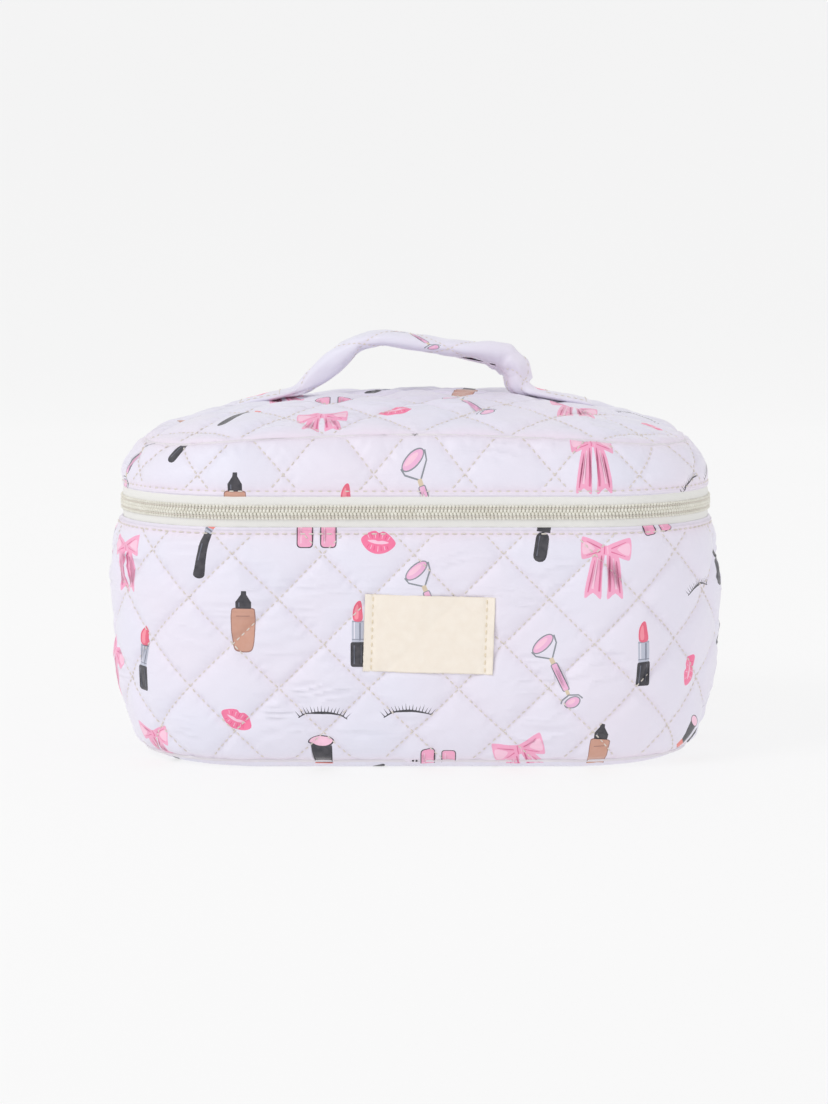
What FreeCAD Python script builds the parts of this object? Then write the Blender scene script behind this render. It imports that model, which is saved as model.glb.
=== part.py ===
import FreeCAD, Part
import math
import os

os.makedirs("parts", exist_ok=True)

V = FreeCAD.Vector

# Driving dimensions, millimetres. The bag stands on z = 0 and its front faces -Y.
HALF_X, HALF_Y, CORNER = 120.0, 75.0, 55.0   # outline at the zip
ZIP_Z = 103.0                                # middle of the zip chain
WALL_BOTTOM, WALL_TOP = 3.6, 97.0            # outer fabric of the body wall
STRIP_BOTTOM, LID_SEAM = 109.0, 130.0        # outer fabric of the lid strip
DOME_RISE = 16.0                             # crown of the lid above its seam
SHELL = 1.0                                  # quilted outer fabric
TAPE_OUT, TAPE_IN = -1.2, -1.9               # zip tape, behind the outer fabric
BIND_OUT, BIND_IN = -2.1, -3.9               # bias binding round the zip seam
PAD_OUT, PAD_IN = -1.2, -3.9                 # wadding
LINE_OUT, LINE_IN = -4.1, -4.7               # lining
CHAIN_OUT, CHAIN_IN = -0.2, -2.6             # coil chain, inward from the outline
CHAIN_HALF, CHAIN_SLIT = 3.0, 0.55           # half width of the chain, half of its slit
TUCK = 13.0                                  # how far the tape reaches from the zip's middle
HINGE_HALF = 50.0                            # half width of the fabric hinge at the back
AXIS_Z = 148.6                               # line that the handle loop leans about
SLIDER_ANGLE = 30.0                          # where the slider is parked on the rear corner

# (height, how far the outline stands out from the zip outline)
BODY = [(-1.0, -12.5), (3.6, -8.2), (7.0, -6.2), (11.0, -4.2), (19.5, -1.4), (28.0, 0.4),
        (40.0, 1.6), (55.0, 2.2), (70.0, 2.2), (85.0, 1.7), (97.0, 0.3), (104.0, -0.6)]
LID = [(100.0, 0.2), (109.0, -0.9), (114.0, -2.0), (118.0, -3.0), (122.0, -4.4),
       (126.0, -6.6), (130.0, -9.8), (132.0, -11.6)]
BAND = [(80.0, 0.0), (125.0, 0.0)]
# scale of the lid outline at each step up the crown
CROWN = [1.0, 0.94, 0.86, 0.76, 0.64, 0.5, 0.34]


def outline(z, hx, hy, r):
    """Closed rounded rectangle at height z."""
    k = r * math.sqrt(0.5)
    edges = []
    for sx, sy, first in ((1, -1, "y"), (1, 1, "x"), (-1, 1, "y"), (-1, -1, "x")):
        cx, cy = sx * (hx - r), sy * (hy - r)
        on_x = V(cx, sy * hy, z)
        on_y = V(sx * hx, cy, z)
        mid = V(cx + sx * k, cy + sy * k, z)
        if first == "y":
            edges.append(Part.Arc(on_x, mid, on_y).toShape())
        else:
            edges.append(Part.Arc(on_y, mid, on_x).toShape())
    wire = []
    for i, arc in enumerate(edges):
        wire.append(arc)
        a = arc.Vertexes[-1].Point
        b = edges[(i + 1) % 4].Vertexes[0].Point
        wire.append(Part.LineSegment(a, b).toShape())
    return Part.Wire(wire)


def block(profile, offset):
    """Solid that follows a height profile, standing offset outside it."""
    wires = [outline(z, HALF_X + d + offset, HALF_Y + d + offset, CORNER + d + offset)
             for z, d in profile]
    return Part.makeLoft(wires, True, False)


def slab(z0, z1, x0=-200.0, x1=200.0, y0=-200.0, y1=200.0):
    return Part.makeBox(x1 - x0, y1 - y0, z1 - z0, V(x0, y0, z0))


def ring(profile, outer, inner, z0, z1):
    """Wall of cloth between two offsets of a profile, cut off level at both ends."""
    return block(profile, outer).cut(block(profile, inner)).common(slab(z0, z1))


def dome(lift, shrink):
    """Solid crown of the lid, moved by lift and made smaller all round by shrink."""
    wires = [outline(LID_SEAM - 6.0 + lift, HALF_X - 9.8 - shrink, HALF_Y - 9.8 - shrink,
                     CORNER - 9.8 - shrink)]
    for s in CROWN:
        z = LID_SEAM + DOME_RISE * (1.0 - s ** 3) + lift
        wires.append(outline(z, (HALF_X - 9.8 - shrink) * s, (HALF_Y - 9.8 - shrink) * s,
                             (CORNER - 9.8 - shrink) * s))
    lower = Part.makeLoft(wires[:2], True, True)
    upper = Part.makeLoft(wires[1:], True, False)
    return lower.fuse(upper)


def dome_layer(top, bottom, z0):
    """Layer of the crown between two depths below its outer face."""
    return dome(-top, top * 0.7).cut(dome(-bottom, bottom * 0.7)).common(slab(z0, 200.0))


def save(name, shape):
    shape.exportStep("parts/" + name + ".step")


# ---- body wall and base -------------------------------------------------
body_wall = ring(BODY, 0.0, -SHELL, WALL_BOTTOM, WALL_TOP)
save("body_wall", body_wall)
save("body_wadding", ring(BODY, PAD_OUT, PAD_IN, 4.2, ZIP_Z - TUCK - 0.4))
save("body_lining", ring(BODY, LINE_OUT, LINE_IN, 4.6, WALL_TOP - 0.2))

BASE = [(0.0, -13.5), (1.0, -10.6), (2.2, -9.0), (3.4, -8.3)]
base_tray = block(BASE, 0.0)
base_hollow = block([(z + SHELL, d - SHELL) for z, d in BASE], 0.0)
save("base_panel", base_tray.cut(base_hollow))
save("base_board", block([(1.2, -15.4), (2.2, -15.4)], 0.0))
save("base_wadding", block([(2.4, -14.4), (3.7, -14.4)], 0.0))
save("base_lining", block([(3.9, -14.2), (4.5, -14.2)], 0.0))
base_roll = block([(4.7, -14.0), (8.7, -14.0)], 0.0).cut(block([(4.6, -16.2), (8.8, -16.2)], 0.0))
save("base_binding", base_roll)

# ---- zip ---------------------------------------------------------------
rear_gap = slab(60.0, 140.0, -HINGE_HALF - 1.0, HINGE_HALF + 1.0, 60.0, 90.0)
low, high = ZIP_Z - CHAIN_HALF, ZIP_Z + CHAIN_HALF
save("lower_coil", ring(BAND, CHAIN_OUT, CHAIN_IN, low, ZIP_Z - CHAIN_SLIT).cut(rear_gap))
save("upper_coil", ring(BAND, CHAIN_OUT, CHAIN_IN, ZIP_Z + CHAIN_SLIT, high).cut(rear_gap))
save("lower_tape", ring(BODY, TAPE_OUT, TAPE_IN, ZIP_Z - TUCK, low - 0.1).cut(rear_gap))
save("upper_tape", ring(LID, TAPE_OUT, TAPE_IN, high + 0.1, ZIP_Z + TUCK).cut(rear_gap))
save("lower_zip_binding", ring(BODY, BIND_OUT, BIND_IN, ZIP_Z - TUCK, WALL_TOP + 0.1))
save("upper_zip_binding", ring(LID, BIND_OUT, BIND_IN, STRIP_BOTTOM - 0.4, ZIP_Z + TUCK))

# ---- fabric hinge at the back --------------------------------------------
rear = slab(60.0, 140.0, -HINGE_HALF, HINGE_HALF, 60.0, 90.0)
hinge_low = ring(BODY, TAPE_OUT, TAPE_IN, ZIP_Z - TUCK, 97.3)
hinge_low = hinge_low.fuse(ring(BAND, -0.2, TAPE_IN, 97.3, ZIP_Z - 0.25))
save("hinge_strip_lower", hinge_low.common(rear).removeSplitter())
hinge_high = ring(LID, TAPE_OUT, TAPE_IN, 108.6, ZIP_Z + TUCK)
hinge_high = hinge_high.fuse(ring(LID, -0.2, TAPE_IN, ZIP_Z + 0.25, 108.6))
save("hinge_strip_upper", hinge_high.common(rear).removeSplitter())

# ---- lid -----------------------------------------------------------------
save("lid_strip", ring(LID, 0.0, -SHELL, STRIP_BOTTOM, LID_SEAM - 0.2))
save("lid_strip_wadding", ring(LID, PAD_OUT, PAD_IN, ZIP_Z + TUCK + 0.3, LID_SEAM - 1.0))
save("lid_strip_lining", ring(LID, LINE_OUT, LINE_IN, STRIP_BOTTOM + 0.2, LID_SEAM - 1.6))
save("lid_top_panel", dome_layer(0.0, SHELL, LID_SEAM))
save("lid_top_wadding", dome_layer(SHELL + 0.25, 3.6, LID_SEAM))
save("lid_top_lining", dome_layer(3.85, 4.5, LID_SEAM))
roll = block([(124.0, -15.2), (129.6, -15.2)], 0.0).cut(block([(123.9, -17.4), (129.7, -17.4)], 0.0))
save("lid_seam_binding", roll)

# ---- front label ------------------------------------------------------------
LABEL_W, LABEL_H, LABEL_X, LABEL_Z, LABEL_TILT = 51.0, 30.5, 5.3, 55.5, 1.8


def on_label(shape):
    """Turns a piece drawn square to the label so that it leans with it."""
    shape.rotate(V(LABEL_X, 0.0, LABEL_Z), V(0.0, 1.0, 0.0), LABEL_TILT)
    return shape


def front_plate(x0, z0, width, height):
    return on_label(Part.makeBox(width, 40.0, height, V(x0, -100.0, z0)))


label_skin = block(BODY, 0.95).cut(block(BODY, 0.2))
plate = front_plate(LABEL_X - LABEL_W / 2, LABEL_Z - LABEL_H / 2, LABEL_W, LABEL_H)
save("front_label", label_skin.common(plate))
thread_skin = block(BODY, 1.45).cut(block(BODY, 1.05))
STITCH, STITCH_PITCH = 2.0, 3.0
for side, name in ((-1, "label_thread_left"), (1, "label_thread_right")):
    dashes = []
    for i in range(9):
        z0 = LABEL_Z - LABEL_H / 2 + 2.2 + i * STITCH_PITCH
        x0 = LABEL_X + side * (LABEL_W / 2 - 3.0) - 0.25
        dashes.append(thread_skin.common(front_plate(x0, z0, 0.5, STITCH)))
    save(name, Part.makeCompound(dashes))

# ---- handle -------------------------------------------------------------------
# (x, height over the lean line, half thickness, half width, direction in degrees)
LOOP = [(-47.0, -0.6, 2.4, 3.2, 56.0), (-43.8, 3.2, 2.8, 4.4, 47.0), (-38.5, 6.8, 3.4, 6.2, 42.0),
        (-31.0, 12.6, 4.3, 9.2, 40.0), (-23.0, 17.8, 4.7, 10.6, 24.0), (-5.0, 18.7, 4.6, 11.0, -9.0),
        (14.0, 15.4, 4.4, 11.0, -10.0), (31.0, 12.6, 4.6, 10.2, -16.0), (40.5, 8.0, 4.6, 7.0, -58.0),
        (44.0, 2.2, 4.2, 4.6, -82.0), (44.3, -0.6, 3.6, 3.6, -88.0)]


def loop(shrink):
    wires = []
    for x, h, t, w, angle in LOOP:
        a = math.radians(angle)
        oval = Part.Ellipse(V(w - shrink, 0, 0), V(0, t - shrink, 0), V(0, 0, 0)).toShape()
        place = FreeCAD.Matrix(0, -math.sin(a), math.cos(a), x,
                               1, 0, 0, 0,
                               0, math.cos(a), math.sin(a), AXIS_Z + h,
                               0, 0, 0, 1)
        wires.append(Part.Wire(oval.transformGeometry(place)))
    return Part.makeLoft(wires, True, False)


save("handle_cover", loop(0.0).cut(loop(SHELL)))
save("handle_core", loop(SHELL + 0.2))
END_IN, END_OUT, END_HALF, END_THICK = 50.2, 73.0, 11.0, 3.4
end_layer = dome(0.25 + END_THICK, 0.0).cut(dome(0.25, 0.0))
thread_layer = dome(4.25, 0.0).cut(dome(3.75, 0.0))
for side, name in ((-1, "left"), (1, "right")):
    x0 = min(side * END_IN, side * END_OUT)
    length = END_OUT - END_IN
    flat = slab(135.0, 155.0, x0, x0 + length, -END_HALF, END_HALF)
    save("handle_end_" + name, end_layer.common(flat))
    seam = slab(135.0, 155.0, x0 + 3.0, x0 + length - 3.0, -8.5, 8.5)
    seam = seam.cut(slab(135.0, 155.0, x0 + 3.6, x0 + length - 3.6, -7.9, 7.9))
    save("handle_thread_" + name, thread_layer.common(seam))

# ---- slider and pull, on the rear corner at +X ----------------------------------
CX, CY = HALF_X - CORNER, HALF_Y - CORNER
BAR_OUT, BAR_R = 3.4, 0.5


def sector(r0, r1, z0, z1, half_angle):
    """Piece of a ring round the rear corner's centre, centred on the +X side."""
    base = V(CX, CY, z0)
    piece = Part.makeCylinder(CORNER + r1, z1 - z0, base, V(0, 0, 1), 2 * half_angle)
    piece = piece.cut(Part.makeCylinder(CORNER + r0, z1 - z0, base, V(0, 0, 1), 360))
    piece.rotate(V(CX, CY, 0), V(0, 0, 1), -half_angle)
    return piece


def at_corner(shape):
    shape.rotate(V(CX, CY, 0), V(0, 0, 1), SLIDER_ANGLE)
    return shape


slider = sector(0.3, 1.3, ZIP_Z - 4.5, ZIP_Z + 4.5, 5.6)
slider = slider.fuse(sector(-4.1, -3.1, ZIP_Z - 3.9, ZIP_Z + 3.9, 5.2))
slider = slider.fuse(sector(-3.2, 0.4, ZIP_Z - 0.25, ZIP_Z + 0.25, 1.6))
for y in (-3.9, 3.1):
    slider = slider.fuse(Part.makeBox(3.1, 0.8, 1.6, V(CX + CORNER + 0.9, CY + y, ZIP_Z - 0.8)))
bar = Part.makeCylinder(BAR_R, 7.0, V(CX + CORNER + BAR_OUT, CY - 3.5, ZIP_Z), V(0, 1, 0))
save("slider", at_corner(slider.fuse(bar).removeSplitter()))

PULL_W, PULL_LEN, PULL_T = 7.0, 20.0, 1.2
eye = V(CX + CORNER + BAR_OUT, CY - 2.2, ZIP_Z)
pull = Part.makeCylinder(1.6, 4.4, eye, V(0, 1, 0))
neck = Part.makeBox(PULL_T, 4.4, 4.0, V(eye.x - PULL_T / 2, eye.y, ZIP_Z - 5.0))
tab = Part.makeBox(PULL_T, PULL_W, PULL_LEN - 4.0,
                   V(eye.x - PULL_T / 2, CY - PULL_W / 2, ZIP_Z - PULL_LEN - 0.4))
tab = tab.makeFillet(2.4, [e for e in tab.Edges if abs(e.tangentAt(0).x) > 0.9])
pull = pull.fuse(neck).fuse(tab)
pull = pull.cut(Part.makeCylinder(0.9, 5.0, V(eye.x, eye.y - 0.3, ZIP_Z), V(0, 1, 0)))
save("pull_tab", at_corner(pull.removeSplitter()))
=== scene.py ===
import math

import bpy
import numpy as np
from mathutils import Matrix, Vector
from mathutils.geometry import delaunay_2d_cdt


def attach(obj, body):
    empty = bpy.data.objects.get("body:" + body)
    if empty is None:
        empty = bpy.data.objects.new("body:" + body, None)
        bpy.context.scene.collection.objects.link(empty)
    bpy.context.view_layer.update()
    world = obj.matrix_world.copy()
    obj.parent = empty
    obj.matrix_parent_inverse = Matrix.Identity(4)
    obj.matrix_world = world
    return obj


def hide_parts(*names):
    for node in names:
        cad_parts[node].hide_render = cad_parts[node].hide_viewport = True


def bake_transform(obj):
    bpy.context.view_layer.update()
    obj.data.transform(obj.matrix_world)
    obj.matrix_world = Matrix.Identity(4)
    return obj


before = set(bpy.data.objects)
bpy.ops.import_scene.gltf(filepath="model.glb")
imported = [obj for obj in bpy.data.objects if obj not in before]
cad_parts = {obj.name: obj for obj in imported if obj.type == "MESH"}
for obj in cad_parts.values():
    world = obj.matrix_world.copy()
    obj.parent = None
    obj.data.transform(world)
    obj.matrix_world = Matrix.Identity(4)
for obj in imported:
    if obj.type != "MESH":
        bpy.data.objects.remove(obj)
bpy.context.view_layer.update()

# Millimetres throughout, turned into metres as each mesh is made.
MM = 0.001
HALF_X, HALF_Y, CORNER = 120.0, 75.0, 55.0
ZIP_Z = 103.0
FLAT_X, FLAT_Y, ARC = HALF_X - CORNER, HALF_Y - CORNER, CORNER * math.pi / 2
QUILT = 35.4                         # diagonal of a quilted square
AROUND = 19 * QUILT                  # length of the cloth round the bag, a whole number of diamonds
CORNER_U = FLAT_X + ARC / 2          # middle of the front corner, measured round the bag
TURN_U = 130.0                       # past here the cloth is eased to fill the outline
EASE = (AROUND / 2 - TURN_U) / (2 * (FLAT_X + FLAT_Y + ARC) - TURN_U)
LAP_U = AROUND / 2 + CORNER_U        # the wall's own seam, at the rear left corner
ROOT2 = math.sqrt(2.0)
LID_A, LID_B, LID_R = 110.2, 65.2, 45.2   # half sides and corner radius of the lid's top seam
SEAM_Z, RISE = 130.0, 14.1           # height of that seam, and of the crown above it
FACE_BOW = 62.0                      # how far from its middle a long face bows
STEP = 1.05                          # spacing of points on the printed cloth
BOTTOM, TOP, STRIP_FOOT = 1.8, 97.2, 108.8          # ends of the wall, and the lid strip's lower one
BASE_INSET = 8.4                     # base seam, inside the zip's outline
LABEL_W, LABEL_H, LABEL_X, LABEL_Z, LABEL_TILT = 51.0, 30.5, 5.3, 55.5, math.radians(1.8)
QUILT_STITCH = (2.0, 0.56, 0.2)      # length, thickness and lift of a thread


# ---- noise and small maths
def noise(x, y, seed=0):
    """Smooth random field between -1 and 1, about one bump per unit."""
    x, y = np.broadcast_arrays(np.asarray(x, float), np.asarray(y, float))
    ix, iy = np.floor(x).astype(np.int64), np.floor(y).astype(np.int64)
    fx, fy = x - ix, y - iy

    def corner(dx, dy):
        n = (ix + dx) * 73856093 ^ (iy + dy) * 19349663 ^ (seed + 11) * 83492791
        n = (n ^ (n >> 13)) * 1274126177 & 0x7FFFFFFF
        n = (n ^ (n >> 15)) * 1911520717 & 0x7FFFFFFF
        return (n % 65536) / 32768.0 - 1.0

    sx, sy = fx * fx * fx * (fx * (fx * 6 - 15) + 10), fy * fy * fy * (fy * (fy * 6 - 15) + 10)
    low = corner(0, 0) * (1 - sx) + corner(1, 0) * sx
    high = corner(0, 1) * (1 - sx) + corner(1, 1) * sx
    return low * (1 - sy) + high * sy


def ramp(x, a, b):
    t = np.clip((x - a) / (b - a), 0.0, 1.0)
    return t * t * (3 - 2 * t)


def smooth_table(points, sigma=2.2):
    """Rounded version of a height table, as a function."""
    z = np.array([p[0] for p in points], float)
    d = np.array([p[1] for p in points], float)
    step = 0.4
    zz = np.arange(z[0] - 12, z[-1] + 12, step)
    dd = np.interp(zz, z, d)
    low, high = zz < z[0], zz > z[-1]
    dd[low] = d[0] + (zz[low] - z[0]) * (d[1] - d[0]) / (z[1] - z[0])
    dd[high] = d[-1] + (zz[high] - z[-1]) * (d[-1] - d[-2]) / (z[-1] - z[-2])
    k = np.exp(-0.5 * (np.arange(-20, 21) * step / sigma) ** 2)
    dd[20:-20] = np.convolve(dd, k / k.sum(), mode="valid")
    return lambda q: np.interp(q, zz, dd)


body_line = smooth_table([(0.0, -11.0), (3.6, -8.4), (7.0, -6.2), (11.0, -4.2), (19.5, -1.4), (28.0, 0.3),
                          (40.0, 1.4), (55.0, 1.9), (70.0, 1.9), (85.0, 1.4), (97.0, 0.2)])
lid_line = smooth_table([(106.0, -0.3), (109.0, -0.9), (114.0, -2.0), (118.0, -3.0), (122.0, -4.4),
                         (126.0, -6.6), (130.0, -9.8)])


# ---- the bag's surfaces
def ring(u):
    """Point and outward direction on the zip's outline, u round it from the front's middle."""
    u = np.mod(np.asarray(u, float), AROUND)
    half = AROUND / 2
    v = np.where(u > half, AROUND - u, u)           # the left side mirrors the right
    v = np.where(v > TURN_U, TURN_U + (v - TURN_U) / EASE, v)
    a1, a2 = FLAT_X, FLAT_X + ARC
    a3, a4 = a2 + 2 * FLAT_Y, a2 + 2 * FLAT_Y + ARC
    t1, t2 = (v - a1) / CORNER, (v - a3) / CORNER
    x = np.select([v < a1, v < a2, v < a3, v < a4],
                  [v, FLAT_X + CORNER * np.sin(t1), HALF_X + 0 * v, FLAT_X + CORNER * np.cos(t2)],
                  FLAT_X - (v - a4))
    y = np.select([v < a1, v < a2, v < a3, v < a4],
                  [-HALF_Y + 0 * v, -FLAT_Y - CORNER * np.cos(t1), -FLAT_Y + (v - a2),
                   FLAT_Y + CORNER * np.sin(t2)], HALF_Y + 0 * v)
    nx = np.select([v < a1, v < a2, v < a3, v < a4], [0 * v, np.sin(t1), 1 + 0 * v, np.cos(t2)], 0 * v)
    ny = np.select([v < a1, v < a2, v < a3, v < a4], [-1 + 0 * v, -np.cos(t1), 0 * v, np.sin(t2)], 1 + 0 * v)
    side = np.where(u > half, -1.0, 1.0)
    return x * side, y, nx * side, ny


def soft_shape(u, z):
    """Slow lumps of the stuffed wall and the bow of its long faces, none at the zip or the base."""
    x, y, nx, ny = ring(u)
    hold = np.clip((ZIP_Z - 6 - z) / 22, 0, 1) * np.clip(z / 14, 0, 1)
    bow = 1.7 * np.exp(-(x / FACE_BOW) ** 2) * np.abs(ny)
    return hold * (bow + 1.1 * noise((x + 0.5 * y) / 47 + 3.1, (z + 0.7 * y) / 36, 5))


def lean(line, z):
    """Horizontal and vertical parts of the outward direction on a profile."""
    slope = (line(z + 0.8) - line(z - 0.8)) / 1.6
    size = np.sqrt(1 + slope * slope)
    return 1 / size, -slope / size


def wall_at(u, z, h):
    x, y, nx, ny = ring(u)
    c, s = lean(body_line, z)
    out = body_line(z) + soft_shape(u, z) + h * c
    return np.stack([x + nx * out, y + ny * out, z + h * s], -1)


def strip_at(u, z, h):
    x, y, nx, ny = ring(u)
    c, s = lean(lid_line, z)
    out = lid_line(z) + h * c
    up = seam_lift(x + nx * lid_line(z)) * ramp(z, 112.0, SEAM_Z)
    return np.stack([x + nx * out, y + ny * out, z + up + h * s], -1)


def gauge(x, y, a, b, r):
    """Size of the rounded rectangle through a point, 1 on the one with half sides a and b."""
    x, y = np.abs(x), np.abs(y)
    ca, cb = a - r, b - r
    k = ca * ca + cb * cb - r * r
    p = x * ca + y * cb
    root = np.sqrt(np.maximum(p * p - k * (x * x + y * y), 0))
    s = (p - root) / k if abs(k) > 1e-6 else (x * x + y * y) / (2 * p + 1e-9)
    s = np.where(y < s * cb, x / a, s)
    return np.where((x < s * ca) & (y / b >= x / a), y / b, s)


def seam_lift(x):
    """The lid's seam stands a little higher in the middle of the long faces and sags at the ends."""
    return 3.0 * np.exp(-(x / FACE_BOW) ** 2) - 2.4 * ramp(np.abs(x), 60.0, 105.0)


def crown(x, y):
    s = np.minimum(gauge(x, y, LID_A, LID_B, LID_R), 1.02)
    rise = RISE + 0.6 * noise(x / 45 + 9.4, y / 38, 8)
    return SEAM_Z + rise * (1 - s ** 2.25) + s * s * seam_lift(x)


def crown_at(x, y, h):
    e = 0.6
    z = crown(x, y)
    gx = (crown(x + e, y) - crown(x - e, y)) / (2 * e)
    gy = (crown(x, y + e) - crown(x, y - e)) / (2 * e)
    n = 1 / np.sqrt(1 + gx * gx + gy * gy)
    return np.stack([x - h * gx * n, y - h * gy * n, z + h * n], -1)


# ---- quilting
def dip(d, reach=2.7):
    """0 on a seam, rising to 1 away from it."""
    return 1 - np.exp(-np.sqrt(d * d + 0.12) / reach)


def line_gap(a, b, phase):
    """Signed distance to the nearest quilting line of each of the two directions."""
    s, t = (a + b - phase[0]) / QUILT, (a - b - phase[1]) / QUILT
    return (s - np.round(s)) * QUILT / ROOT2, (t - np.round(t)) * QUILT / ROOT2


def quilt(a, b, phase, height, seed):
    """Height of the quilted cloth over its backing: puffs, gathers at the stitches and drag lines."""
    ds, dt = line_gap(a, b, phase)
    along_s, along_t = (a - b) / ROOT2, (a + b) / ROOT2
    full = 1 + 0.3 * noise((a + b) / 31, (a - b) / 31, seed)
    h = height * full * dip(ds) * dip(dt)
    h = h + 0.5 * np.exp(-np.abs(ds) / 3.6) * dip(ds, 0.8) * noise(along_s / 2.1, ds / 8.0, seed + 1)
    h = h + 0.5 * np.exp(-np.abs(dt) / 3.6) * dip(dt, 0.8) * noise(along_t / 2.1, dt / 8.0, seed + 2)
    inside = dip(ds, 2.0) * dip(dt, 2.0)
    warp = 3.0 * noise(a / 26, b / 18, seed + 3)
    mask = np.clip(noise(a / 24 + 7, b / 19, seed + 4) + 0.35, 0, 1)
    drag = 1 - np.abs(noise(a / 15, (b + warp) / 2.8, seed + 5)) * 2
    h = h + 0.62 * mask * inside * drag
    h = h + 0.16 * inside * noise(a / 5.5, b / 3.8, seed + 6)
    return h


def painted_fold_shade(a, b, phase, edges):
    """How close a point is to a stitched line, for the painted shade in the folds: a warm pink tint standing
    in for shade and for pink light reflected there.
    """
    ds, dt = line_gap(a, b, phase)
    shade = 0.45 * np.exp(-np.minimum(np.abs(ds), np.abs(dt)) / 0.8)
    for e in edges:
        shade = np.maximum(shade, np.exp(-np.abs(e) / 1.7))
    return shade


WALL_PHASE, STRIP_PHASE, TOP_PHASE, BASE_PHASE = (15.2, 18.6), (101.0, -133.5), (-64.0, 66.0), (4.0, 11.0)
TOP_ROW, STRIP_ROW = 94.7, 111.2


def under_label(u, z):
    """1 where the label lies, 0 clear of it."""
    a, b = np.abs(u - LABEL_X) - LABEL_W / 2, np.abs(z - LABEL_Z) - LABEL_H / 2 - 0.05
    return (1 - ramp(a, -1.5, 2.0)) * (1 - ramp(b, -1.5, 2.0))


def under_pull(u, z):
    """1 where the zip pull lies against the rear right corner as the slider runs."""
    return ramp(u, 172, 184) * (1 - ramp(u, 236, 248)) * ramp(z, 62, 74)


def lap_gap(u):
    """Distance from the wall's own seam, whichever way round."""
    return np.minimum(np.abs(u - LAP_U), np.abs(u + AROUND - LAP_U))


def wall_relief(u, z):
    h = quilt(u, z, WALL_PHASE, 2.5, 21)
    h = h * dip(np.maximum(TOP_ROW - z, 0), 2.4) * dip(np.maximum(z - 3.4, 0), 2.6)
    h = h * (1 - 0.62 * under_label(u, z)) * (1 - 0.4 * under_pull(u, z)) - 1.2 * under_pull(u, z)
    gather = noise(u / 1.9, z / 9, 31) * np.exp(-np.abs(z - TOP_ROW) / 2.6) * 0.30
    hem = 0.55 * np.sin(np.pi * np.clip((z - TOP_ROW) / 2.6, 0, 1)) - 0.9 * ramp(z, 96.3, 97.2)
    foot = -0.45 * (1 - ramp(z, 3.4, 5.4)) + 0.25 * noise(u / 3.1, z / 6, 33) * (1 - ramp(z, 4, 12))
    return (np.where(z > TOP_ROW, hem, h) + gather) * dip(lap_gap(u), 1.6) + foot


def strip_relief(u, z):
    h = quilt(u, z, STRIP_PHASE, 2.0, 41) * dip(np.maximum(z - STRIP_ROW, 0), 2.2) * dip(SEAM_Z - z, 1.4)
    gather = noise(u / 1.9, z / 9, 51) * np.exp(-np.abs(z - STRIP_ROW) / 2.6) * 0.30
    hem = 0.55 * np.sin(np.pi * np.clip((STRIP_ROW - z) / 2.6, 0, 1)) - 0.9 * (1 - ramp(z, 108.8, 109.7))
    top = -0.7 * ramp(z, 128.6, 130.0) + 0.3 * noise(u / 2.4, z / 7, 52) * ramp(z, 122, 129)
    return (np.where(z < STRIP_ROW, hem, h) + gather + top) * dip(lap_gap(u), 1.6)


def lid_edge(x, y):
    """Distance in from the lid's top seam."""
    return (1 - gauge(x, y, LID_A, LID_B, LID_R)) * LID_B


def top_relief(x, y):
    d = lid_edge(x, y)
    h = quilt(x, y, TOP_PHASE, 2.2, 61) * dip(np.maximum(d, 0), 1.6)
    angle = np.arctan2(y * 1.7, x) * 70
    return h - 0.7 * (1 - ramp(d, 0.0, 1.3)) + 0.3 * noise(angle / 2.4, d / 7, 66) * (1 - ramp(d, 1, 8))


# ---- motifs of the printed cloth, each its own drawing, in millimetres
INK = {  # display colours, 0-255
    "paper": (236, 232, 244), "rose": (246, 166, 200), "rose_deep": (226, 104, 152),
    "rose_pale": (250, 200, 222), "kiss": (247, 112, 158), "kiss_deep": (232, 72, 128),
    "black": (24, 24, 33), "grey": (132, 138, 146), "shine": (96, 100, 116), "stone": (240, 180, 216),
    "tan": (203, 150, 128), "tan_deep": (150, 104, 92), "coral": (240, 128, 118),
    "silver": (188, 192, 208), "steel": (128, 132, 150), "tip": (232, 92, 122),
    "tip_pale": (246, 142, 160), "gold": (216, 198, 170),
}


def linear(rgb):
    c = np.array(rgb, float) / 255.0
    return np.where(c <= 0.04045, c / 12.92, ((c + 0.055) / 1.055) ** 2.4)


def smooth_loop(points, n=5):
    """Closed rounded curve through a few points."""
    p = np.array(points, float)
    out = []
    for i in range(len(p)):
        p0, p1, p2, p3 = p[i - 1], p[i], p[(i + 1) % len(p)], p[(i + 2) % len(p)]
        for k in range(n):
            t = k / n
            out.append(0.5 * (2 * p1 + (p2 - p0) * t + (2 * p0 - 5 * p1 + 4 * p2 - p3) * t * t
                              + (3 * p1 - p0 - 3 * p2 + p3) * t ** 3))
    return np.array(out)


def oval(cx, cy, rx, ry, turn=0.0, n=22):
    t = np.linspace(0, 2 * np.pi, n, endpoint=False)
    x, y = rx * np.cos(t), ry * np.sin(t)
    a = math.radians(turn)
    return np.stack([cx + x * math.cos(a) - y * math.sin(a), cy + x * math.sin(a) + y * math.cos(a)], -1)


def bar(x0, y0, x1, y1, w0, w1=None):
    """Straight stroke from one point to another, of a width at each end."""
    w1 = w0 if w1 is None else w1
    d = np.array([x1 - x0, y1 - y0], float)
    n = np.array([-d[1], d[0]]) / (np.hypot(*d) + 1e-9)
    a, b = np.array([x0, y0]), np.array([x1, y1])
    return np.array([a - n * w0 / 2, b - n * w1 / 2, b + n * w1 / 2, a + n * w0 / 2])


def stroke(points, widths):
    p = np.array(points, float)
    d = np.gradient(p, axis=0)
    n = np.stack([-d[:, 1], d[:, 0]], -1) / (np.hypot(d[:, 0], d[:, 1])[:, None] + 1e-9)
    w = np.array(widths, float)[:, None] / 2
    return np.concatenate([p - n * w, (p + n * w)[::-1]])


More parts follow.
